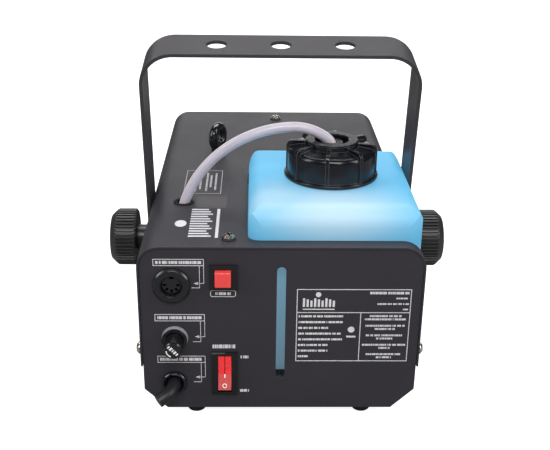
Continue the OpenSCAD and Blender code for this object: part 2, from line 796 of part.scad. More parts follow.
module pump_frame() {
  color("silver") place() difference() {
    box([pump_x - 13.5, pump_x + 13.5], [100, 142], [pump_base, pump_z + 15.5]);
    box([pump_x - 20, pump_x + 20], bracket_y, [pump_z - 13.6, pump_z + 13.6]);
    rod_y(coil_bore, [99, 143], pump_at);
    for (y = pump_mount_y) rod_z(2, [pump_z - 19, pump_z - 10], [pump_x, y]);
  }
}
module pump_coil() {
  color([0.1, 0.1, 0.12]) place() difference() {
    union() {
      rod_y(12.9, [104, 138], pump_at);
      box([pump_x + 8, pump_x + 13.4], [106, 112], [pump_z - 3, pump_z + 3]);
    }
    rod_y(coil_bore, [99, 143], pump_at);
  }
}
module pump_cylinder() {
  // steps along the outside: radius, span in y
  steps = [[2.15, [84.5, 94]], [6, [94, 97]], [9.5, [97, 100]], [8, [100, 146]],
    [6.5, [146, 153]], [5, [153, 158]]];
  color([0.85, 0.85, 0.8]) place() difference() {
    union() {
      for (step = steps) rod_y(step[0], step[1], pump_at);
    }
    rod_y(1.2, [80, 100], pump_at);
    rod_y(5.5, [99, 144], pump_at);
    rod_y(2.05, [143, 160], pump_at);
  }
}
module pump_piston() {
  color("silver") place() difference() {
    rod_y(5.45, [108, 128], pump_at);
    rod_y(1.2, [100, 140], pump_at);
  }
}
module pump_spring() {
  color("silver") place() difference() {
    rod_y(5.2, [130.6, 143.8], pump_at);
    rod_y(4.4, [130, 145], pump_at);
  }
}
module pump_bracket() {
  color(grey_steel) place() {
    difference() {
      union() {
        box([pump_x - 14, pump_x + 20], bracket_y, [37, bracket_top]);
        box([pump_x + 18.8, pump_x + 20], bracket_y, [sheet, bracket_top]);
        box([pump_x + 18.8, pump_x + 32], bracket_y, [sheet, 2.4]);
      }
      for (y = pump_mount_y) rod_z(2, [30, 40], [pump_x, y]);
      rod_z(1.75, [0, 4], [pump_x + 26, 121]);
    }
    // rubber bushes under the frame
    for (y = pump_mount_y) rod_z(5.5, [bracket_top, pump_base], [pump_x, y]);
  }
}
// thin metal pipe from the pump to the heater's side
pipe_y = 179; // where it enters the heater
module outlet_pipe() {
  pipe_r = 2;
  turn_r = 12;
  color([0.75, 0.45, 0.25]) place() {
    rod_y(pipe_r, [146, pipe_y - turn_r], pump_at);
    translate([pump_x + turn_r, pipe_y - turn_r, pump_z]) rotate([0, 0, 90])
      rotate_extrude(angle = 90) translate([turn_r, 0]) circle(pipe_r, $fn = 36);
    rod_x(pipe_r, [pump_x + turn_r, -31], [pipe_y, pump_z]);
    translate([-45.4, pipe_y, pump_z]) rotate([0, 90, 0]) hex_nut(5.2, 7, pipe_r);
  }
}

// ---- heater ----
thermostat_at = [16, 206];

module cartridge_rods(radius, span) {
  both_sides() rod_y(radius, span, [18, nozzle_z - 10]);
}
module standoff_rods(radius, span) {
  both_sides() for (y = [166, 246]) rod_z(radius, span, [26, y]);
}
module heater_block() {
  color([0.75, 0.75, 0.76]) place() difference() {
    union() {
      box([-32, 32], [160, 252], [39, 81]);
      box([-38.2, -32], [174, 184], [55, 65]);
      rod_y(9, [252, 256], nozzle_at);
    }
    rod_x(2.05, [-39, 0], [pipe_y, nozzle_z]);
    rod_y(2.05, [pipe_y, 260], nozzle_at);
    rod_y(6.05, [250, 260], nozzle_at);
    cartridge_rods(6.1, [158, 246]);
    both_sides() rod_z(2, [74, 90], thermostat_at);
  }
}
module heating_cartridges() {
  color([0.55, 0.55, 0.55]) place() {
    cartridge_rods(6, [156, 245]);
    cartridge_rods(2.5, [152, 156]);
  }
}
module thermostats() {
  color([0.85, 0.83, 0.78]) place() both_sides() {
    rod_z(8, [81, 89], thermostat_at);
    for (x = [11, 21]) box([x - 0.4, x + 0.4], [203.5, 208.5], [88, 93]);
  }
}
module insulation() {
  color([0.9, 0.88, 0.8]) place() difference() {
    box([-45, 45], [147, 265], [25, 95]);
    box([-32.5, 32.5], [159.5, 252.5], [38.6, 94]);
    box([-46, -30], [173, 185], [54, 66]);
    rod_y(9.5, [250, 270], nozzle_at);
    cartridge_rods(6.6, [140, 162]);
    standoff_rods(4.1, [20, 45]);
  }
}
module heat_shield() {
  color([0.7, 0.7, 0.72]) place() {
    difference() {
      box([-46, 46], [146, 266], [24, 96]);
      box([-45.1, 45.1], [146.9, 265.1], [24.9, 97]);
      box([-47, -44], [172, 186], [53, 67]);
      rod_y(9.5, [260, 270], nozzle_at);
      cartridge_rods(5, [140, 150]);
      standoff_rods(2.1, [20, 45]);
      both_sides() for (i = [0:3]) box([44, 48], [196 + i * 14, 204 + i * 14], [40, 43]);
    }
    // lid
    box([-46.9, 46.9], [145.1, 266.9], [96, 96.8]);
  }
}
module heater_standoffs() {
  color([0.85, 0.85, 0.82]) place() {
    standoff_rods(5, [sheet, 24]);
    standoff_rods(2, [24, 24.9]);
    standoff_rods(4, [24.9, 39]);
  }
}

// ---- nozzle ----
// four places round the nozzle, for the guard's pins
module at_guard_pins() {
  for (a = [45:90:315]) translate([17 * cos(a), 0, nozzle_z + 17 * sin(a)]) children();
}
module nozzle() {
  color([0.8, 0.65, 0.3]) place() difference() {
    union() {
      rod_y(6, [250.2, 292], nozzle_at);
      along_y(nozzle_at, 281) cylinder(r = 8.2, h = 3.6, $fn = 6);
      along_y(nozzle_at, 288) cylinder(r = 7.6, h = 7, $fn = 6);
      along_y(nozzle_at) cone(5.5, 3, [295, 299]);
    }
    rod_y(2, [250, 293], nozzle_at);
    rod_y(0.9, [292, 300], nozzle_at);
  }
}
module nozzle_guard() {
  color([0.07, 0.07, 0.07]) place() difference() {
    union() {
      rod_y(guard_r, [body_d, body_d + 2], nozzle_at);
      along_y(nozzle_at, body_d) cone(14, 12.6, [2, 7]);
      at_guard_pins() {
        rod_y(1.4, [body_d - 4.5, body_d + 0.5]);
        along_y([0, 0], body_d) cone(2.8, 1.8, [2, 3.4]);
      }
    }
    rod_y(10.4, [body_d - 2, body_d + 10], nozzle_at);
  }
}

// ---- electronics ----
board_z = [8, 9.6];
terminal_y = 84;
wire_w = 2;
function terminal_x(i) = -58.5 + i * 5.6;
// end of a wire over terminal i
function terminal(i) = [terminal_x(i), terminal_y, 21.1];

module control_board() {
  top = board_z[1];
  place() {
    color([0.1, 0.35, 0.2]) box([-68, -27], [44, 94], board_z);
    color([0.9, 0.9, 0.88]) for (x = [-65, -30], y = [47, 91])
      rod_z(2.6, [sheet, board_z[0]], [x, y]);
    color([0.15, 0.15, 0.16]) box([-66, -44], [52, 74], [top, 30]);
    color([0.1, 0.3, 0.6]) box([-40, -29], [54, 72], [top, 24]);
    // terminal block
    color([0.1, 0.5, 0.25]) difference() {
      box([-62, -34], [80, 88], [top, 20]);
      for (i = [0:4]) rod_z(1.7, [16, 21], [terminal_x(i), terminal_y]);
    }
    color([0.1, 0.1, 0.3]) for (x = [-40, -32]) rod_z(3.2, [top, 21], [x, 48.5]);
  }
}
// square wire through points that differ along one axis at a time
module wire(path) {
  for (i = [0:len(path) - 2]) {
    low = [for (k = [0:2]) min(path[i][k], path[i + 1][k]) - wire_w / 2];
    high = [for (k = [0:2]) max(path[i][k], path[i + 1][k]) + wire_w / 2];
    translate(low) cube(high - low);
  }
}
module wiring() {
  t0 = terminal_x(0);
  t1 = terminal_x(1);
  t2 = terminal_x(2);
  t3 = terminal_x(3);
  t4 = terminal_x(4);
  color([0.15, 0.15, 0.15]) place() {
    // cord to power switch, fuse holder and tray
    wire([[-66, 31.2, 21], [-66, 38, 21], [-66, 38, 34.4], [-35, 38, 34.4], [-35, 29.2, 34.4]]);
    wire([[-69.4, 31.2, 18.4], [-69.4, 48, 18.4], [-69.4, 48, 51.5], [-66, 48, 51.5],
      [-66, 44.2, 51.5]]);
    wire([[-66.5, 31.2, 16.5], [-66.5, 35, 16.5], [-66.5, 35, sheet + 1.05]]);
    // power switch to the terminal block's side
    wire([[-35, 29.2, 18], [-35, 34, 18], [-25.2, 34, 18], [-25.2, 84, 18], [-32.9, 84, 18]]);
    // remote socket, fog switch and pump coil to terminals
    wire([[-67, 18.2, 84.4], [-67, 30, 84.4], [t2, 30, 84.4], [t2, terminal_y, 84.4],
      terminal(2)]);
    wire([[-39.5, 25.2, 94], [-39.5, 30, 94], [t3, 30, 94], [t3, terminal_y, 94],
      terminal(3)]);
    wire([[t1, 109, 60], [t1, 96, 60], [t1, 96, 45], [t1, terminal_y, 45], terminal(1)]);
    // heating cartridges to terminals
    wire([[18, 150.9, 50], [18, 138.5, 50], [-30, 138.5, 50], [-30, 138.5, 30],
      [-30, 96, 30], [t0, 96, 30], [t0, terminal_y, 30], terminal(0)]);
    wire([[-18, 150.9, 50], [-18, 142, 50], [-34, 142, 50], [-34, 142, 34],
      [-34, 99, 34], [t4, 99, 34], [t4, terminal_y, 34], terminal(4)]);
  }
}

base_tray();
control_panel();
front_panel();
top_cover();
cover_side_screws();
cover_top_screws();
screw_washers();
rubber_feet();
foot_screws();
tank();
fog_fluid();
tank_cap();
tube_gland();
cap_seal();
pickup_tube();
suction_filter();
feed_tube();
tube_grommet();
tank_bay();
tank_pad();
safety_eye();
safety_eye_nut();
yoke();
left_knob();
left_knob_stud();
left_washer();
right_knob();
right_knob_stud();
right_washer();
pivot_nuts();
remote_socket();
remote_socket_insert();
socket_fuse_nuts();
fuse_holder();
fuse_cap();
fuse();
strain_relief();
power_cord();
fog_switch_body();
fog_button();
button_spring();
power_switch_body();
power_rocker();
pump_frame();
pump_coil();
pump_cylinder();
pump_piston();
pump_spring();
pump_bracket();
outlet_pipe();
heater_block();
heating_cartridges();
thermostats();
insulation();
heat_shield();
heater_standoffs();
nozzle();
nozzle_guard();
control_board();
wiring();
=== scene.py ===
"""A small fog machine: sheet metal body, blue fluid tank on top, yoke, switches and knobs.

Body coordinates are in mm: X to the right, Y to the back from the control panel, which
faces the front at y = 0, and Z up from the tray's underside. The row frame is in metres,
centred along Y, with the feet standing on z = 0.
"""
import bpy, bmesh, json, math
from mathutils import Vector, Matrix


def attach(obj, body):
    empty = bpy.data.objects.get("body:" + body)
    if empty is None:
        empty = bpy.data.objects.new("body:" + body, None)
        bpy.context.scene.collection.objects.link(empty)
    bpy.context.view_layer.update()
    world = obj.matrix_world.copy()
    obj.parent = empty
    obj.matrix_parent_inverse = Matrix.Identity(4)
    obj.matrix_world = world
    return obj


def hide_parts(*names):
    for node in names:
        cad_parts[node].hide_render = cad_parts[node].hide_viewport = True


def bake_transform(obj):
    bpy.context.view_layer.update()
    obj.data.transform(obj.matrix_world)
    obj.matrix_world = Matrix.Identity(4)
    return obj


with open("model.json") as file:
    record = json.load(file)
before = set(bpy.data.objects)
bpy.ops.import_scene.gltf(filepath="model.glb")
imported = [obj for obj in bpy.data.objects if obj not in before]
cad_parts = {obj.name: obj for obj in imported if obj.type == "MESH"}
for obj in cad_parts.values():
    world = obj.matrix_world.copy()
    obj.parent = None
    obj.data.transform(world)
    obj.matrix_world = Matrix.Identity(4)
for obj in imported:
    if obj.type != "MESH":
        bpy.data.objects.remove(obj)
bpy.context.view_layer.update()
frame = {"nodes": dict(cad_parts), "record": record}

# ------------------------------------------------------------------ driving sizes, mm
MIDDLE_Y = 139.509              # the body's middle, front to back
FOOT_HEIGHT = 7.0
COVER_TOP = 114.0
FUSE_X, FUSE_Z = -66, 51.5      # axis of the fuse holder
FUSE_CAP_FRONT = -16.4
ROCKER_X, ROCKER_Y, ROCKER_Z = -35, 5, 26.25
BUTTON_X, BUTTON_Z = -35.6, 94.2
PUMP_X, PUMP_Z = -67.5, 60      # axis of the pump, which the feed tube leaves
INK = 0.07                      # thickness of the print


def height(z):
    """Body height in mm to metres above the floor."""
    return (z + FOOT_HEIGHT) / 1000.0


def P(x, y, z):
    """Body coordinates in mm to the row frame in metres."""
    return Vector((x / 1000.0, (y - MIDDLE_Y) / 1000.0, height(z)))


# ------------------------------------------------------------------ shader building
class Shader:
    """The node tree of a material or world. An input takes either a value or a socket."""

    def __init__(self, owner):
        owner.use_nodes = True
        self.owner = owner
        self.nodes = owner.node_tree.nodes
        self.links = owner.node_tree.links
        self.bsdf = self.nodes.get("Principled BSDF")

    def set(self, node, key, value):
        if isinstance(value, bpy.types.NodeSocket):
            self.links.new(value, node.inputs[key])
        else:
            node.inputs[key].default_value = value

    def add(self, kind, inputs=None, **settings):
        node = self.nodes.new("ShaderNode" + kind)
        for key, value in settings.items():
            setattr(node, key, value)
        for key, value in (inputs or {}).items():
            self.set(node, key, value)
        return node

    def place(self):
        return self.add("TexCoord").outputs["Object"]

    def math(self, operation, *values):
        return self.add("Math", dict(enumerate(values)), operation=operation).outputs[0]

    def vector(self, operation, *values):
        node = self.add("VectorMath", dict(enumerate(values)), operation=operation)
        return node.outputs["Value" if operation in ("LENGTH", "DOT_PRODUCT") else "Vector"]

    def scale(self, vector, factor):
        node = self.add("VectorMath", operation="SCALE")
        self.set(node, 0, vector)
        self.set(node, "Scale", factor)
        return node.outputs["Vector"]

    def remap(self, value, start, end, to=(0.0, 1.0), curve="LINEAR"):
        """start..end becomes to[0]..to[1]."""
        inputs = {"Value": value, "From Min": start, "From Max": end,
                  "To Min": to[0], "To Max": to[1]}
        return self.add("MapRange", inputs, interpolation_type=curve).outputs[0]

    def mix(self, factor, first, second):
        """Colour mix. A fixed colour is given as RGB."""
        node = self.add("Mix", data_type="RGBA")
        self.set(node, "Factor", factor)
        for key, color in (("A", first), ("B", second)):
            self.set(node, key, (*color, 1) if isinstance(color, tuple) else color)
        return node.outputs["Result"]

    def recolor(self, color):
        self.color = color
        self.set(self.bsdf, "Base Color", color)


def mottled(shader, color, cloud, grains, vary):
    """The base colour with a slow cloudy change and a fine grain."""
    slow = shader.remap(cloud, 0.3, 0.7, to=(1.0 - vary, 1.0 + vary))
    quick = shader.remap(grains, 0.3, 0.7, to=(1.0 - vary * 0.8, 1.0 + vary * 0.8))
    return shader.scale(color, shader.math("MULTIPLY", slow, quick))


def highlight_and_wear_edges(shader, color, cloud, edge_highlight_and_wear, edge_highlight_and_wear_color):
    """Edges painted another colour where the bevelled normal leaves the true one: partly rubbed
    wear, partly a painted highlight along the edges.
    """
    rounded = shader.add("Bevel", {"Radius": 0.0006}, samples=4).outputs[0]
    flat = shader.add("NewGeometry").outputs["Normal"]
    edge = shader.remap(shader.vector("DOT_PRODUCT", rounded, flat), 0.99, 0.85, to=(0.0, edge_highlight_and_wear))
    return shader.mix(shader.math("MULTIPLY", edge, cloud), color, edge_highlight_and_wear_color)


def surface(name, color, rough=0.5, metal=0.0, coat=0.0, sheen=0.0, spec=0.5, grain=900.0,
            bump=0.05, vary=0.08, rough_vary=0.08, sss=0.0, edge_highlight_and_wear=0.0, edge_highlight_and_wear_color=None,
            painted_groove_shade=None, soft_edge=0.0, painted_glow=0.0):
    """The general surface.

    grain: scale of the fine noise, bump: how strongly it stands out.
    vary, rough_vary: spread of the colour and the roughness.
    edge_highlight_and_wear, edge_highlight_and_wear_color: strength and colour of pale edges,
    partly rubbed wear and partly a painted highlight.
    painted_groove_shade: reach in metres into grooves, and how dark they get; painted shade darkens
    the colour and dims the reflections there.
    soft_edge: radius in metres of edges rounded by shading alone.
    painted_glow: strength of a painted glow in the base colour, though the part is no lamp.
    A color of None leaves the base colour to the caller.
    """
    shader = Shader(bpy.data.materials.new(name))
    bsdf = shader.bsdf
    place = shader.add("Mapping", {"Vector": shader.place()}).outputs["Vector"]
    grains = shader.add("TexNoise", {"Vector": place, "Scale": grain, "Detail": 3.0}).outputs["Fac"]
    cloud = shader.add("TexNoise", {"Vector": place, "Scale": 22.0, "Detail": 4.0,
                                    "Roughness": 0.6}).outputs["Fac"]
    roughness = shader.remap(cloud, 0.3, 0.7,
                             to=(max(0.03, rough - rough_vary), min(1.0, rough + rough_vary)))
    for key, value in {"Roughness": roughness, "Metallic": metal, "Specular IOR Level": spec,
                       "Coat Weight": coat, "Coat Roughness": 0.15,
                       "Sheen Weight": sheen}.items():
        shader.set(bsdf, key, value)

    if color:
        tone = mottled(shader, color, cloud, grains, vary)
        # pale edges: partly wear, partly a painted highlight
        if edge_highlight_and_wear > 0:
            tone = highlight_and_wear_edges(shader, tone, cloud, edge_highlight_and_wear, edge_highlight_and_wear_color)
        # painted shade: the colour darkened in grooves and recesses, by ambient occlusion
        if painted_groove_shade:
            reach, darkest = painted_groove_shade
            occlusion = shader.add("AmbientOcclusion", {"Distance": reach}, samples=6)
            openness = shader.remap(occlusion.outputs["AO"], 0.42, 0.92, to=(darkest, 1.0))
            tone = shader.scale(tone, openness)
            # painted shade on reflections: less shine in the grooves
            if metal < 0.5:
                shine = shader.math("MULTIPLY", openness, spec)
                shader.set(bsdf, "Specular IOR Level", shine)
        shader.recolor(tone)
    if bump > 0:
        relief = shader.add("Bump", {"Strength": bump, "Distance": 0.0004, "Height": grains})
        shader.set(bsdf, "Normal", relief.outputs["Normal"])
        if soft_edge:
            rounded = shader.add("Bevel", {"Radius": soft_edge}, samples=4)
            shader.set(relief, "Normal", rounded.outputs["Normal"])
    if sss:
        shader.set(bsdf, "Subsurface Weight", sss)
        shader.set(bsdf, "Subsurface Radius", (0.6, 0.9, 1.0))
        shader.set(bsdf, "Subsurface Scale", 0.01)
    # painted glow: the surface gives off its base colour as light
    if painted_glow:
        shader.set(bsdf, "Emission Color", (*color, 1))
        shader.set(bsdf, "Emission Strength", painted_glow)
    return shader


# ------------------------------------------------------------------ special materials
def tank():
    """Translucent blue polyethylene, with painted light: pale patches and a glow stand in for light
    passing through; deeper at the edges.
    """
    shader = surface("tank_polyethylene", None, spec=0.22, grain=220, bump=0.02, rough_vary=0.05)
    place = shader.place()

    # a patch of painted light, an ellipsoid
    def painted_light_patch(center, size, strength):
        """strength at the centre, falling to 0 at an ellipsoid's surface."""
        offset = shader.vector("SUBTRACT", place, P(*center))
        reach = shader.vector("MULTIPLY", offset, tuple(1000 / s for s in size))
        fade = shader.remap(shader.vector("LENGTH", reach), 1.0, 0.0, curve="SMOOTHERSTEP")
        return shader.math("MULTIPLY", fade, strength)

    # painted light: two pale patches over the tank's top and front edge
    painted_light = shader.math("MAXIMUM",
                       painted_light_patch(center=(32, 12, 132), size=(72, 62, 34), strength=0.85),
                       painted_light_patch(center=(0, 26, 138), size=(60, 54, 22), strength=0.6))
    z = shader.add("SeparateXYZ", {"Vector": place}).outputs["Z"]
    # painted shade: darker towards the cover
    shade = shader.remap(z, height(108), height(129), to=(0.78, 1.0), curve="SMOOTHSTEP")
    # painted shade: inside the body the tank is painted greyer and darker, darker still towards the
    # bottom
    inside = shader.remap(z, height(112), height(99), curve="SMOOTHSTEP")
    grey = shader.add("ValToRGB", {"Fac": shader.remap(z, height(18), height(95))})
    grey.color_ramp.elements[0].color = (0.085, 0.14, 0.19, 1)
    grey.color_ramp.elements[1].color = (0.115, 0.225, 0.29, 1)

    def tone(deep_color, painted_light_color):
        lit = shader.scale(shader.mix(painted_light, deep_color, painted_light_color), shade)
        return shader.mix(inside, lit, grey.outputs[0])

    shader.recolor(tone(deep_color=(0.06, 0.24, 0.385), painted_light_color=(0.27, 0.355, 0.40)))
    # painted glow: the tank gives off the same colours as light, though it is no lamp
    glow = tone(deep_color=(0.085, 0.28, 0.42), painted_light_color=(0.30, 0.385, 0.425))
    for key, value in {"Subsurface Weight": 0.2, "Subsurface Radius": (0.3, 0.8, 1.0),
                       "Subsurface Scale": 0.012, "Emission Color": glow,
                       "Emission Strength": 1.0}.items():
        shader.set(shader.bsdf, key, value)
    return shader


def red_plastic(name, color, painted_glow):
    # painted glow, so the red shines though it is no lamp
    return surface(name, color, rough=0.28, coat=0.3, grain=500, bump=0.02, vary=0.05,
                   rough_vary=0.05, sss=0.3, painted_glow=painted_glow)


def red_rocker():
    """Bright upper half with a line of painted shade down its middle for its groove, and a lower
    half painted duller and paler as a painted reflection.
    """
    shader = red_plastic("red_rocker", (0.80, 0.03, 0.035), painted_glow=0.16)
    axes = shader.add("SeparateXYZ", {"Vector": shader.place()})
    half_fade, half_line = 0.35, 0.00042    # mm, metres
    # painted reflection: the lower half paler, as its tilted face catches the light
    lower = shader.remap(axes.outputs["Z"],
                         height(ROCKER_Z + half_fade), height(ROCKER_Z - half_fade))
    # painted shade: a dark line down the middle, for the groove's shadow
    line = shader.math("COMPARE", axes.outputs["X"], ROCKER_X / 1000, half_line)
    upper = shader.mix(line, shader.color, (0.30, 0.006, 0.008))
    shader.recolor(shader.mix(lower, upper, (0.52, 0.075, 0.07)))
    # the painted glow takes the same colours
    shader.set(shader.bsdf, "Emission Color", shader.color)
    return shader


def clear_tube():
    """Clear silicone, with a painted highlight along its two edges, where the wall is seen end on.
    """
    shader = surface("tube_silicone", (0.50, 0.48, 0.58), rough=0.22, coat=0.2, grain=300,
                     bump=0.02, vary=0.03, rough_vary=0.05, sss=0.5)
    facing = shader.add("LayerWeight", {"Blend": 0.5}).outputs["Facing"]
    # painted highlight: pale along the edges
    rim_highlight = shader.remap(facing, 0.35, 0.78, curve="SMOOTHSTEP")
    shader.recolor(shader.mix(rim_highlight, shader.color, (0.86, 0.86, 0.88)))
    return shader


def gloss_black(name):
    return surface(name, (0.006, 0.0065, 0.0085), rough=0.24, spec=0.55, bump=0.02,
                   vary=0.1, rough_vary=0.06)


def fuse_ring():
    """Fuse holder: gloss black, with a painted highlight round the upper right of its bevelled
    edge.
    """
    shader = gloss_black("fuse_ring")
    offset = shader.vector("SUBTRACT", shader.place(), P(FUSE_X, -3, FUSE_Z))
    axes = shader.add("SeparateXYZ", {"Vector": offset}).outputs
    flat = shader.add("CombineXYZ", {"X": axes["X"], "Z": axes["Z"]}).outputs[0]
    # painted highlight: a pale band round the outer edge, strongest at the upper right, where the
    # light falls
    rim_highlight = shader.remap(shader.vector("LENGTH", flat), 0.00765, 0.0079)
    lit_upper_right = shader.remap(shader.vector("DOT_PRODUCT", flat, (0.35, 0, 0.94)),
                               -0.0055, 0.004, curve="SMOOTHSTEP")
    painted_light = shader.math("MULTIPLY", rim_highlight, lit_upper_right)
    shader.recolor(shader.mix(painted_light, shader.color, (0.24, 0.24, 0.25)))
    return shader


# ------------------------------------------------------------------ all materials, by slot
# the pale edges: partly wear, partly a painted highlight
POWDER_COAT = dict(grain=1500, bump=0.35, vary=0.06, rough_vary=0.05, soft_edge=0.0004,
                   edge_highlight_and_wear=0.25, edge_highlight_and_wear_color=(0.11, 0.105, 0.11))
SHADERS = {
    "body_paint": surface("powder_coat", (0.0290, 0.0265, 0.0325), spec=0.32, **POWDER_COAT),
    "yoke_paint": surface("powder_coat_yoke", (0.037, 0.034, 0.039), rough=0.42, spec=0.42,
                          **POWDER_COAT),
    "zinc_sheet": surface("zinc_sheet", (0.55, 0.56, 0.58), rough=0.38, metal=1.0, grain=160,
                          bump=0.03, vary=0.15, rough_vary=0.12),
    # painted shade in the screw heads' recesses
    "screws": surface("plated_screw", (0.78, 0.72, 0.64), rough=0.28, metal=1.0, grain=700,
                      vary=0.2, rough_vary=0.1, painted_groove_shade=(0.0022, 0.02)),
    "steel": surface("turned_steel", (0.55, 0.55, 0.56), rough=0.3, metal=1.0, grain=500,
                     vary=0.12, rough_vary=0.1),
    "fluid": surface("fluid_blue", (0.16, 0.55, 0.85), rough=0.1, grain=60, bump=0.0,
                     vary=0.04, rough_vary=0.02),
    # painted highlight: the cap's rib edges painted pale grey
    "cap_plastic": surface("cap_plastic", (0.0040, 0.0045, 0.0070), rough=0.24, spec=0.42,
                           grain=1100, bump=0.06, vary=0.1, rough_vary=0.05, edge_highlight_and_wear=1.0,
                           edge_highlight_and_wear_color=(0.24, 0.24, 0.26)),
    # painted highlight on the ridges of the flutes, painted shade in their grooves
    "knob_plastic": surface("knob_plastic", (0.021, 0.0205, 0.0225), rough=0.36, spec=0.45,
                            grain=1300, bump=0.1, vary=0.1, rough_vary=0.07, edge_highlight_and_wear=0.7,
                            edge_highlight_and_wear_color=(0.22, 0.215, 0.22), painted_groove_shade=(0.0022, 0.03)),
    "tube_silicone": clear_tube(),
    "black_rubber": surface("black_rubber", (0.012, 0.0125, 0.0155), rough=0.42, spec=0.4,
                            grain=1300, bump=0.15, vary=0.15),
    "black_gloss": gloss_black("black_gloss"),
    "eye_gloss": surface("eye_gloss", (0.006, 0.006, 0.007), rough=0.13, coat=0.4, spec=0.6,
                         grain=260, bump=0.12, vary=0.1, rough_vary=0.05),
    "brass": surface("machined_brass", (0.60, 0.42, 0.16), rough=0.28, metal=1.0, grain=500,
                     bump=0.04, vary=0.1, rough_vary=0.1),
    "alu": surface("cast_aluminium", (0.5, 0.5, 0.51), metal=1.0, grain=420, bump=0.25,
                   vary=0.1),
    "ceramic": surface("ceramic", (0.75, 0.72, 0.64), rough=0.45, grain=600, vary=0.05),
    "wool": surface("ceramic_wool", (0.68, 0.63, 0.5), rough=0.95, sheen=0.4, grain=240,
                    bump=0.9, vary=0.15),
    "board": surface("circuit_board", (0.03, 0.14, 0.07), rough=0.4, coat=0.3, grain=300,
                     bump=0.1, vary=0.3),
    "copper": surface("copper_pipe", (0.62, 0.3, 0.16), rough=0.3, metal=1.0, grain=400,
                      bump=0.03, vary=0.15, rough_vary=0.1),
    "felt": surface("foam_pad", (0.02, 0.02, 0.02), rough=0.95, sheen=0.2, grain=380, bump=0.8,
                    vary=0.25),
    "print": surface("panel_print", (0.62, 0.61, 0.63), rough=0.55, grain=1500, vary=0.12,
                     rough_vary=0.05),
    "print_soft": surface("panel_print_soft", (0.36, 0.35, 0.37), rough=0.55, grain=1500,
                          vary=0.15, rough_vary=0.05),
    "mark": surface("switch_mark", (0.86, 0.82, 0.82), rough=0.4, bump=0.02, vary=0.05),
    "dark": surface("dark_inside", (0.006, 0.006, 0.006), rough=0.7, grain=400, bump=0.1,
                    vary=0.2),
    "tank_plastic": tank(),
    "red_button": red_plastic("red_button", (0.73, 0.058, 0.055), painted_glow=0.14),
    "red_rocker": red_rocker(),
    # the slightly paler edges: partly wear, partly a painted highlight
    "bezel": surface("switch_bezel", (0.0050, 0.0055, 0.0072), spec=0.45, bump=0.02, vary=0.1,
                     rough_vary=0.05, edge_highlight_and_wear=0.3, edge_highlight_and_wear_color=(0.05, 0.055, 0.065)),
    "fuse_ring": fuse_ring(),
    "grommet": surface("grommet_rubber", (0.009, 0.009, 0.010), rough=0.7, spec=0.25, bump=0.1,
                       vary=0.1, rough_vary=0.06),
    "patch": surface("cover_patch", (0.066, 0.061, 0.066), rough=0.6, spec=0.3, grain=1100,
                     bump=0.3, vary=0.1, rough_vary=0.05),
}
MATERIALS = {slot: shader.owner for slot, shader in SHADERS.items()}

# ------------------------------------------------------------------ finish of the CAD nodes
# nodes whose material isn't the one their slot names
NODE_MATERIAL = {
    "yoke": "yoke_paint", "safety_eye": "eye_gloss", "fog_button": "red_button",
    "power_rocker": "red_rocker", "fog_switch_body": "bezel", "power_switch_body": "bezel",
    "fuse_holder": "fuse_ring", "tube_grommet": "grommet",
}
KEEP_NORMALS = ("tank", "top_cover", "yoke", "base_tray", "control_panel", "front_panel")
FLAT_SHADED = ("fog_switch_body", "power_switch_body", "power_rocker")

# bevel width in mm of each node; the rest take the default
DEFAULT_BEVEL = 0.08
BEVEL = {
    "tank_cap": 0.35, "tube_gland": 0.25, "left_knob": 0.22, "right_knob": 0.22,
    "left_washer": 0.15, "right_washer": 0.15, "remote_socket": 0.25,
    "remote_socket_insert": 0.1, "fuse_holder": 0.2, "fuse_cap": 0.12, "strain_relief": 0.3,
    "fog_button": 0.5, "rubber_feet": 0.4, "cover_side_screws": 0.12,
    "cover_top_screws": 0.12, "foot_screws": 0.12, "nozzle": 0.2, "nozzle_guard": 0.25,
    "heater_block": 0.4, "pump_frame": 0.2, "pump_coil": 0.3, "tank_bay": 0.15,
    "safety_eye_nut": 0.2, "pivot_nuts": 0.2, "socket_fuse_nuts": 0.15,
    "screw_washers": 0.12, "thermostats": 0.3, "insulation": 0.8, "tank_pad": 0.5,
    "control_board": 0.2,
}


def reset_shading(mesh, smooth):
    """Drops the CAD's own normals and shades every face alike."""
    normals = mesh.attributes.get("custom_normal")
    if normals is not None:
        mesh.attributes.remove(normals)
    mesh.polygons.foreach_set("use_smooth", [smooth] * len(mesh.polygons))


def soften_edges(node, width):
    weld = node.modifiers.new("weld", "WELD")
    weld.merge_threshold = 2e-6
    bevel = node.modifiers.new("bevel", "BEVEL")
    bevel.width = width / 1000
    bevel.segments = 2
    bevel.limit_method = "ANGLE"
    bevel.angle_limit = math.radians(33)
    bevel.use_clamp_overlap = True
    bevel.harden_normals = True
    normals = node.modifiers.new("wn", "WEIGHTED_NORMAL")
    normals.weight = 80
    normals.keep_sharp = True


slot_of = {part["node"]: part["material_slot"] for part in frame["record"]["subparts"]}
for name, node in frame["nodes"].items():
    key = NODE_MATERIAL.get(name) or slot_of[name]
    if key == "red_plastic":
        key = "red_button"
    node.data.materials.clear()
    node.data.materials.append(MATERIALS[key])
    if name not in KEEP_NORMALS:
        reset_shading(node.data, smooth=name not in FLAT_SHADED)
        if name not in FLAT_SHADED:
            soften_edges(node, BEVEL.get(name, DEFAULT_BEVEL))


# ------------------------------------------------------------------ mesh helpers
def link_mesh(name, bm, material):
    """Turns a bmesh into an object in the scene."""
    mesh = bpy.data.meshes.new(name)
    bm.to_mesh(mesh)
    bm.free()
    made = bpy.data.objects.new(name, mesh)
    bpy.context.scene.collection.objects.link(made)
    mesh.materials.append(material)
    return made


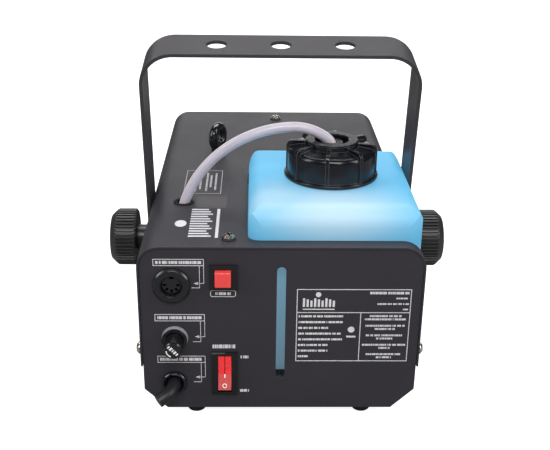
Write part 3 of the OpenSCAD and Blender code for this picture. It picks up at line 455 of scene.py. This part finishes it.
def make_solid(name, bm, material, smooth=None):
    """An object with its faces turned outward; smooth is the widest smooth edge, in degrees."""
    bmesh.ops.recalc_face_normals(bm, faces=bm.faces[:])
    if smooth is not None:
        for edge in bm.edges:
            angle = math.radians(smooth)
            edge.smooth = len(edge.link_faces) == 2 and edge.calc_face_angle(0) < angle
        for face in bm.faces:
            face.smooth = True
    return link_mesh(name, bm, material)


def add_plate(bm, near, far):
    """Joins two copies of a closed outline into a plate."""
    first = [bm.verts.new(point) for point in near]
    second = [bm.verts.new(point) for point in far]
    bm.faces.new(first[::-1])
    bm.faces.new(second)
    for i in range(len(first)):
        j = (i + 1) % len(first)
        bm.faces.new((first[i], first[j], second[j], second[i]))


def turn(a, b, degrees):
    """Rotates the pair (a, b) about the origin."""
    c, s = math.cos(math.radians(degrees)), math.sin(math.radians(degrees))
    return a * c - b * s, a * s + b * c


def arc(cx, cv, radius, start, end, steps, radius_v=None):
    """Points along an arc between two angles in degrees, both ends included."""
    angles = [math.radians(start + (end - start) * i / steps) for i in range(steps + 1)]
    return [(cx + radius * math.cos(a), cv + (radius_v or radius) * math.sin(a)) for a in angles]


def band(outer, inner):
    """The quads between two lines of points."""
    return [[outer[i], outer[i + 1], inner[i + 1], inner[i]] for i in range(len(outer) - 1)]


class Print:
    """Thin raised ink, drawn in (x, v): v is z on an upright front (plane 'y'), y on a top."""

    def __init__(self, plane, level):
        self.bm = bmesh.new()
        self.plane = plane
        self.span = (level - INK, level) if plane == "y" else (level, level + INK)

    def shape(self, points):
        low, high = ([P(x, depth, v) if self.plane == "y" else P(x, v, depth)
                      for x, v in points] for depth in self.span)
        add_plate(self.bm, low, high)

    def shapes(self, outlines):
        for points in outlines:
            self.shape(points)

    def bar(self, x0, x1, v0, v1):
        self.shape([(x0, v0), (x1, v0), (x1, v1), (x0, v1)])

    def disc(self, cx, cv, radius, sides, radius_v=None):
        self.shape(arc(cx, cv, radius, 0, 360, sides, radius_v)[:-1])

    def frame(self, x0, x1, v0, v1, line):
        self.bar(x0, x1, v0, v0 + line)
        self.bar(x0, x1, v1 - line, v1)
        self.bar(x0, x0 + line, v0 + line, v1 - line)
        self.bar(x1 - line, x1, v0 + line, v1 - line)

    def rounded_frame(self, x0, x1, v0, v1, line, radius):
        outer, inner = [], []
        for cx, cv, start in ((x1 - radius, v1 - radius, 0), (x0 + radius, v1 - radius, 90),
                              (x0 + radius, v0 + radius, 180), (x1 - radius, v0 + radius, 270)):
            outer += arc(cx, cv, radius, start, start + 90, 6)
            inner += arc(cx, cv, radius - line, start, start + 90, 6)
        self.shapes(band(outer + outer[:1], inner + inner[:1]))

    def dashes(self, start, end, middle, thick, seed, along="x"):
        """A broken line of short bars, in place of small print."""
        low, high = middle - thick / 2, middle + thick / 2
        while start < end - 0.3:
            seed = (seed * 73 + 41) % 101
            stop = min(start + (0.5 + (seed % 7) * 0.32), end)
            if along == "x":
                self.bar(start, stop, low, high)
            else:
                self.bar(low, high, start, stop)
            start = stop + (0.28 if seed % 4 else 0.75)

    def done(self, name, material, body="machine"):
        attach(make_solid(name, self.bm, MATERIALS[material]), body)


# ------------------------------------------------------------------ control panel, left side
LABEL_LINE = 0.42
# box (x0, x1, z0, z1), height of the inner lead, arrow tip (x, z)
LABELS = (
    ((-77.9, -47.1, 101.4, 106.0), 86.6, (-53.6, 89.6)),
    ((-78.1, -47.1, 63.4, 68.3), 48.8, (-53.6, 52.4)),
    ((-77.4, -47.2, 33.5, 38.5), 19.3, (-53.7, 22.9)),
)
# x start, x end, middle z, thickness, seed: under the button, then around the rocker
LEFT_WORDS = (
    (-40.3, -31.0, 82.7, 1.9, 17), (-42.6, -27.3, 45.4, 2.6, 5),
    (-25.0, -19.6, 37.7, 1.9, 9), (-25.4, -19.0, 12.8, 1.9, 31),
)


def print_label(ink, box, lead_z, tip):
    """A name box with two lines down from its right side, both turning left at the end."""
    x0, x1, z0, z1 = box
    tip_x, tip_z = tip
    ink.frame(*box, LABEL_LINE)
    ink.dashes(x0 + 1.6, x1 - 1.6, (z0 + z1) / 2, (z1 - z0) * 0.42, int(x0 * 10) % 97 + 3)
    thin = LABEL_LINE * 0.8
    inner_x = x1 - 2.6
    ink.bar(x1 - thin, x1, tip_z, z0)
    ink.bar(inner_x - thin, inner_x, lead_z, z0)
    # an arrow ends the outer line, a plain bar the inner one
    ink.bar(tip_x + 2.2, x1 - thin, tip_z - 0.2, tip_z + 0.2)
    ink.shape([(tip_x, tip_z), (tip_x + 2.8, tip_z + 1.0), (tip_x + 2.8, tip_z - 1.0)])
    ink.bar(tip_x - 1.2, inner_x - thin, lead_z - 0.2, lead_z + 0.2)


def print_panel_left():
    ink = Print("y", 0.0)
    for box, lead_z, tip in LABELS:
        print_label(ink, box, lead_z, tip)
    ink.rounded_frame(-43.5, -27.8, 80.4, 85.0, line=LABEL_LINE, radius=1.4)
    for words in LEFT_WORDS:
        ink.dashes(*words)
    ink.done("panel_print_left", "print")


def print_fuse_cap():
    """A slanting row of short bars and an arc on the fuse cap's end."""
    ink = Print("y", FUSE_CAP_FRONT)
    slant, row_z, gap = -46, 0.25, 0.75
    x = -4.3
    for i, width in enumerate((0.9, 1.3, 0.7, 1.2, 0.9)):
        half = 1.15 if i % 2 else 0.95
        low, high = row_z - half, row_z + half
        corners = [turn(*corner, slant)
                   for corner in ((x, low), (x + width, low), (x + width, high), (x, high))]
        ink.shape([(FUSE_X + a, FUSE_Z + b) for a, b in corners])
        x += width + gap
    radius = 4.3
    ink.shapes(band(arc(FUSE_X, FUSE_Z, radius, 176, 252, 8),
                    arc(FUSE_X, FUSE_Z, radius * 0.84, 176, 252, 8)))
    ink.done("fuse_cap_marks", "mark", "fuse_cap_unit")


def print_rocker():
    """A ring with a bar above it, laid on the rocker's lower face."""
    def on_rocker(x, y, z):
        y, z = turn(y, z, -11.1)        # slope of the face
        y, z = turn(y - 7, z, -11)      # tilt of the rocker about its pivot
        return P(ROCKER_X + x, ROCKER_Y + y, ROCKER_Z + z)

    ring_z = -8.6
    outlines = band(arc(0, ring_z, 1.5, 0, 360, 24), arc(0, ring_z, 0.95, 0, 360, 24))
    outlines.append([(-0.35, -3.4), (0.35, -3.4), (0.35, -1.2), (-0.35, -1.2)])
    bm = bmesh.new()
    for points in outlines:
        add_plate(bm, [on_rocker(x, -0.16, z) for x, z in points],
                  [on_rocker(x, -0.24, z) for x, z in points])
    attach(make_solid("rocker_marks", bm, MATERIALS["mark"]), "rocker")


# ------------------------------------------------------------------ control panel, right side
LEFT_COLUMN_LENGTHS = (29, 29, 20, 29, 29, 20, 20, 8)
# start and end of each row, as shares of the column's width; None is a blank row
RIGHT_COLUMN_WIDTH = 30.0
RIGHT_COLUMN_ROWS = (
    (0.18, 0.84), (0.08, 0.95), None, (0.10, 0.92), (0.30, 0.72), None, (0.12, 0.88),
    (0.34, 0.68), None, (0.05, 0.96), (0.40, 0.64), None, (0.14, 0.88), (0.36, 0.68),
)
# x start, x end, middle z, thickness, seed
HEADING_ROWS = (
    (54.6, 79.0, 83.3, 1.7, 23), (71.0, 79.0, 79.6, 1.1, 29),
    (59.5, 79.0, 75.7, 1.1, 37), (75.5, 79.0, 71.9, 1.0, 43),
)


def print_panel_block():
    """A framed block: a heading over two columns of rows."""
    ink = Print("y", 0.0)
    left, right, bottom, top, line = 9.6, 80.3, 34.7, 85.9, 0.5
    heading_z, divider_x = 69.4, 49.3
    ink.frame(left, right, bottom, top, line)
    ink.bar(left + line, right - line, heading_z, heading_z + line)
    ink.bar(divider_x, divider_x + line, bottom + line, heading_z)
    for i, length in enumerate(LEFT_COLUMN_LENGTHS):
        ink.dashes(left + 1.4, left + length, 67.0 - i * 4.1, 1.35, 11 + i * 7)
    column = divider_x + line
    for i, row in enumerate(RIGHT_COLUMN_ROWS):
        if row:
            start, end = (column + share * RIGHT_COLUMN_WIDTH for share in row)
            ink.dashes(start, end, 67.2 - i * 2.28, 1.3, 5 + i * 13)
    for words in HEADING_ROWS:
        ink.dashes(*words)
    # a disc with a bar under it, at the left column's right side
    disc_x, disc_z = 44.0, 57.6
    ink.disc(disc_x, disc_z, radius=2.1, sides=24)
    ink.bar(disc_x - 2.9, disc_x + 2.9, disc_z - 5.6, disc_z - 4.4)
    # upright stripes on a base line, with a disc above, in the top left
    for i in range(9):
        x = 13.4 + i * 2.3
        ink.bar(x, x + 1.35, 73.6, 79.6 - (i % 3) * 0.8)
    ink.bar(13.4, 33.2, 71.6, 72.3)
    ink.disc(22.9, 82.1, radius=1.7, sides=24)
    ink.done("panel_print_block", "print")


# ------------------------------------------------------------------ print on the cover's top
# x, y start, y end of each line of dashes
COVER_COLUMNS = (
    (-60.5, 93, 128), (-57.6, 92, 130), (-54.6, 96, 126),
    (-50.2, 93, 129), (-47.4, 100, 124), (-44.0, 95, 128),
)


def print_cover():
    """Along the left of the cover: a framed box behind, stripes and a disc in front."""
    ink = Print("z", COVER_TOP)
    ink.frame(-65.5, -39.7, 87.8, 134.0, line=0.45)
    for i, (x, start, end) in enumerate(COVER_COLUMNS):
        ink.dashes(start, end, x, 1.4, 7 + i * 11, along="y")
    ink.done("cover_print_box", "print_soft")

    ink = Print("z", COVER_TOP)
    for i in range(12):
        y = 15.0 + i * 3.9
        ink.bar(-57.5, -43.5 - (i % 3) * 1.5, y, y + 1.9)
    ink.bar(-40.9, -39.0, 13.5, 60.0)
    ink.disc(-63.3, 35.5, radius=3.7, sides=32, radius_v=5.2)
    ink.done("cover_print_emblem", "print")

    ink = Print("z", COVER_TOP)
    ink.bar(-55.2, -35.4, 61.6, 82.1)
    ink.done("cover_patch", "patch")


print_panel_left()
print_fuse_cap()
print_rocker()
print_panel_block()
print_cover()


# ------------------------------------------------------------------ round lengths along a path
def headings(path):
    """The direction of travel at each point."""
    last = len(path) - 1
    return [(path[min(i + 1, last)] - path[max(i - 1, 0)]).normalized()
            for i in range(len(path))]


def across(heading, guide):
    """Two directions square to the heading, the first as near the guide as can be."""
    side = (guide - heading * guide.dot(heading)).normalized()
    return side, heading.cross(side)


def tube(name, stations, radii, sides, material, smooth):
    """Rings at (centre, side, other side) stations. Two radii make it hollow."""
    bm = bmesh.new()
    angles = [2 * math.pi * k / sides for k in range(sides)]
    rings = [[[bm.verts.new(P(*(centre + (u * math.cos(a) + v * math.sin(a)) * radius)))
               for a in angles] for radius in radii] for centre, u, v in stations]
    for here, ahead in zip(rings, rings[1:]):
        for k in range(sides):
            j = (k + 1) % sides
            bm.faces.new((here[0][k], here[0][j], ahead[0][j], ahead[0][k]))
            if len(radii) == 2:
                bm.faces.new((here[1][j], here[1][k], ahead[1][k], ahead[1][j]))
    for ring in (rings[0], rings[-1]):
        if len(radii) == 2:
            for k in range(sides):
                j = (k + 1) % sides
                bm.faces.new((ring[0][j], ring[0][k], ring[1][k], ring[1][j]))
        else:
            bm.faces.new(ring[0])
    return make_solid(name, bm, material, smooth)


def sweep(name, path, directions, radii, sides, material, guide=(1, 0, 0)):
    """A tube whose rings follow the path without twisting."""
    side = Vector(guide)
    stations = []
    for centre, heading in zip(path, directions):
        side, other = across(heading, side)
        stations.append((centre, side, other))
    return tube(name, stations, radii, sides, material, smooth=40)


# ------------------------------------------------------------------ feed tube
HOSE_Y = 71.8
HOSE_RADII = (3.4, 2.2)
BEND_R = 12                                 # from the pump's axis up into the rise
BEND_Z = PUMP_Z + BEND_R
ARCH_R, ARCH_Z, ARCH_END = 78.2, 88.7, 92.7     # the arch stops at ARCH_END degrees
ARCH_X = PUMP_X + ARCH_R
SHOULDER_R, DROP_R = 35.4, 8.0              # two ever tighter turns down into the cap
CAP_X, CAP_Z = 33.8, 148.4


def hose_path():
    shoulder_x = ARCH_X + (ARCH_R - SHOULDER_R) * math.cos(math.radians(ARCH_END))
    shoulder_z = ARCH_Z + (ARCH_R - SHOULDER_R) * math.sin(math.radians(ARCH_END))
    drop_x = CAP_X - DROP_R
    # the angle where the shoulder meets the last turn, which ends over the cap
    meet = math.degrees(math.acos((drop_x - shoulder_x) / (SHOULDER_R - DROP_R)))
    drop_z = shoulder_z + (SHOULDER_R - DROP_R) * math.sin(math.radians(meet))

    path = [Vector((PUMP_X, HOSE_Y + 22 - i * 2.0, PUMP_Z)) for i in range(5)]
    path += [Vector((PUMP_X, y, z))
             for y, z in arc(HOSE_Y + BEND_R, BEND_Z, BEND_R, 270, 180, 12)]
    path += [Vector((PUMP_X, HOSE_Y, BEND_Z + (ARCH_Z - BEND_Z) * i / 6)) for i in range(1, 6)]
    turns = arc(ARCH_X, ARCH_Z, ARCH_R, 180, ARCH_END, 44)
    turns += arc(shoulder_x, shoulder_z, SHOULDER_R, ARCH_END, meet, 16)[1:]
    turns += arc(drop_x, drop_z, DROP_R, meet, 0, 10)[1:]
    path += [Vector((x, HOSE_Y, z)) for x, z in turns]
    path += [Vector((CAP_X, HOSE_Y, drop_z - (drop_z - CAP_Z) * i / 3)) for i in range(1, 4)]
    return path


def feed_tube():
    """Two lengths of the feed tube that meet at the top of the arch."""
    path = hose_path()
    directions = headings(path)
    peak = max(range(len(path)), key=lambda i: path[i].z)
    look = dict(radii=HOSE_RADII, sides=28, material=MATERIALS["tube_silicone"])
    rising = sweep("feed_tube_hose", path[:peak + 1], directions[:peak + 1], **look)
    falling = sweep("feed_tube_hose_end", path[peak:], directions[peak:], guide=(0, 0, 1), **look)
    for hose in (rising, falling):
        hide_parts("feed_tube")
    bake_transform(rising)
    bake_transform(falling)


# ------------------------------------------------------------------ coil springs
def spring(name, node, x, z, y0, y1, radius, wire, turns=6):
    """A coil along Y from the moving body at y0 to the machine at y1."""
    count = turns * 20
    path = []
    for i in range(count + 1):
        t = i / count
        angle = 2 * math.pi * turns * t
        path.append(Vector((x + radius * math.cos(angle), y0 + (y1 - y0) * t,
                            z + radius * math.sin(angle))))
    stations = []
    for centre, heading in zip(path, headings(path)):
        outward = Vector((centre.x - x, 0, centre.z - z)).normalized()
        stations.append((centre, *across(heading, outward)))
    made = tube(name, stations, (wire,), 8, MATERIALS["steel"], smooth=60)
    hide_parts(node)
    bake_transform(made)


feed_tube()
spring("button_coil", "button_spring", x=BUTTON_X, z=BUTTON_Z, y0=-3.3, y1=13.7,
       radius=2.3, wire=0.28)
spring("pump_coil_spring", "pump_spring", x=PUMP_X, z=PUMP_Z, y0=130.9, y1=143.5,
       radius=4.8, wire=0.36)

# ------------------------------------------------------------------ wires
WIRE_RADIUS = 0.95
WIRE_CORNER = 4.0
WIRE_COLORS = {
    "brown": (0.16, 0.06, 0.03), "green": (0.1, 0.35, 0.06), "blue": (0.03, 0.1, 0.4),
    "white": (0.6, 0.58, 0.52), "red": (0.5, 0.03, 0.03),
}
# colour, and the corners (x, y, z) of the run
WIRES = {
    "wire_live_in": ("brown", [
        (-66, 30.3, 21), (-66, 38, 21), (-66, 38, 34.4), (-35, 38, 34.4), (-35, 28.3, 34.4)]),
    "wire_fuse": ("brown", [
        (-69.4, 30.3, 18.4), (-69.4, 48, 18.4), (-69.4, 48, 51.5), (-66, 48, 51.5),
        (-66, 43.3, 51.5)]),
    "wire_earth": ("green", [(-66.5, 30.3, 16.5), (-66.5, 35, 16.5), (-66.5, 35, 1.3)]),
    "wire_switched": ("blue", [
        (-35, 28.3, 18), (-35, 34, 18), (-25.2, 34, 18), (-25.2, 84, 18), (-33.9, 84, 18)]),
    "wire_remote": ("white", [
        (-67, 17.3, 84.4), (-67, 30, 84.4), (-47.3, 30, 84.4), (-47.3, 84, 84.4),
        (-47.3, 84, 20.2)]),
    "wire_button": ("red", [
        (-39.5, 24.3, 94), (-39.5, 30, 94), (-41.7, 30, 94), (-41.7, 84, 94),
        (-41.7, 84, 20.2)]),
    "wire_pump": ("blue", [
        (-52.9, 109, 60), (-52.9, 96, 60), (-52.9, 96, 45), (-52.9, 84, 45),
        (-52.9, 84, 20.2)]),
    "wire_heater_a": ("white", [
        (18, 151.6, 50), (18, 138.5, 50), (-30, 138.5, 50), (-30, 138.5, 30), (-30, 96, 30),
        (-58.5, 96, 30), (-58.5, 84, 30), (-58.5, 84, 20.2)]),
    "wire_heater_b": ("white", [
        (-18, 151.6, 50), (-18, 142, 50), (-34, 142, 50), (-34, 142, 34), (-34, 99, 34),
        (-36.1, 99, 34), (-36.1, 84, 34), (-36.1, 84, 20.2)]),
}


def round_corners(corners, radius):
    """The run with each inner corner replaced by a seven point curve."""
    points = [Vector(corner) for corner in corners]
    path = [points[0]]
    for before, corner, after in zip(points, points[1:], points[2:]):
        back, ahead = before - corner, after - corner
        cut = min(radius, back.length / 2.1, ahead.length / 2.1)
        start, end = corner + back.normalized() * cut, corner + ahead.normalized() * cut
        for k in range(7):
            t = k / 6
            path.append(start * (1 - t) ** 2 + corner * 2 * t * (1 - t) + end * t ** 2)
    path.append(points[-1])
    return path


wire_materials = {
    color: surface("wire_" + color, rgb, rough=0.4, coat=0.1, grain=700, bump=0.04).owner
    for color, rgb in WIRE_COLORS.items()
}
for name, (color, corners) in WIRES.items():
    path = round_corners(corners, WIRE_CORNER)
    wire = sweep(name, path, headings(path), (WIRE_RADIUS,), 12, wire_materials[color])
    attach(wire, "machine")
    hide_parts("wiring")


# ------------------------------------------------------------------ stage, in metres
def floor_material():
    """Pale and glowing to the camera, a dull grey to every other ray."""
    shader = Shader(bpy.data.materials.new("floor_pale"))
    shader.nodes.remove(shader.bsdf)
    seen = shader.add("BsdfDiffuse", {"Color": (0.5, 0.5, 0.5, 1)})
    glow = shader.add("Emission", {"Strength": 0.9})
    bright = shader.add("AddShader", {0: seen.outputs[0], 1: glow.outputs[0]})
    bounce = shader.add("BsdfDiffuse", {"Color": (0.22, 0.22, 0.22, 1)})
    camera_ray = shader.add("LightPath").outputs["Is Camera Ray"]
    mixed = shader.add("MixShader", {0: camera_ray, 1: bounce.outputs[0], 2: bright.outputs[0]})
    shader.set(shader.nodes["Material Output"], "Surface", mixed.outputs[0])
    return shader.owner


def floor(half=6.0):
    bm = bmesh.new()
    bm.faces.new([bm.verts.new((x * half, y * half, 0))
                  for x, y in ((-1, -1), (1, -1), (1, 1), (-1, 1))])
    link_mesh("floor", bm, floor_material())


def studio_world():
    """White to the camera, dim for lighting and dimmer still in reflections."""
    world = bpy.data.worlds.new("studio")
    bpy.context.scene.world = world
    shader = Shader(world)
    ray = shader.add("LightPath").outputs
    ambient = shader.remap(ray["Is Glossy Ray"], 0.0, 1.0, to=(0.30, 0.07))
    strength = shader.add("Mix", {"Factor": ray["Is Camera Ray"], "A": ambient, "B": 1.0},
                          data_type="FLOAT")
    background = shader.nodes["Background"]
    shader.set(background, "Color", (1, 1, 1, 1))
    shader.set(background, "Strength", strength.outputs["Result"])


def area_light(name, place, size, power, aim=(0, 0, 0.1)):
    light = bpy.data.lights.new(name, "AREA")
    light.shape = "RECTANGLE"
    light.size, light.size_y = size
    light.energy = power
    lamp = bpy.data.objects.new(name, light)
    bpy.context.scene.collection.objects.link(lamp)
    lamp.location = place
    lamp.rotation_euler = (Vector(aim) - Vector(place)).to_track_quat("-Z", "Y").to_euler()


def camera(place, yaw, pitch, roll, lens):
    """A camera looking to the back and down; angles in degrees, place in the row frame."""
    yaw, pitch, roll = math.radians(yaw), math.radians(pitch), math.radians(roll)
    ahead = Vector((-math.sin(yaw) * math.cos(pitch), math.cos(yaw) * math.cos(pitch),
                    -math.sin(pitch)))
    level = Vector((math.cos(yaw), math.sin(yaw), 0))
    upright = level.cross(ahead)
    right = level * math.cos(roll) + upright * math.sin(roll)
    up = upright * math.cos(roll) - level * math.sin(roll)
    data = bpy.data.cameras.new("camera")
    made = bpy.data.objects.new("camera", data)
    bpy.context.scene.collection.objects.link(made)
    data.sensor_fit = "HORIZONTAL"
    data.sensor_width = 36.0
    data.lens = lens
    data.clip_start = 0.01
    rows = [(right[i], up[i], -ahead[i], place[i]) for i in range(3)]
    made.matrix_world = Matrix((*rows, (0, 0, 0, 1)))
    bpy.context.scene.camera = made


floor()
studio_world()
area_light("softbox_top", place=(0.0, 0.6, 1.5), size=(1.5, 0.8), power=20)
area_light("softbox_back", place=(0.0, 2.0, 0.52), size=(1.7, 0.45), power=5,
           aim=(0, 0.1, 0.12))
area_light("strip_front", place=(0.42, -1.35, 0.75), size=(0.07, 0.9), power=1.3,
           aim=(0, 0, 0.14))
area_light("softbox_front", place=(0.0, -1.7, 1.7), size=(1.6, 0.8), power=36)
area_light("softbox_left", place=(-1.3, -0.5, 0.9), size=(0.35, 1.1), power=8)
area_light("softbox_right", place=(1.3, -0.6, 0.8), size=(0.35, 1.1), power=8)
camera(place=P(-17.13, -500.21, 344.0), yaw=-1.4516, pitch=23.298, roll=0.8027,
       lens=60.138982)
bpy.context.scene.view_settings.view_transform = "Standard"
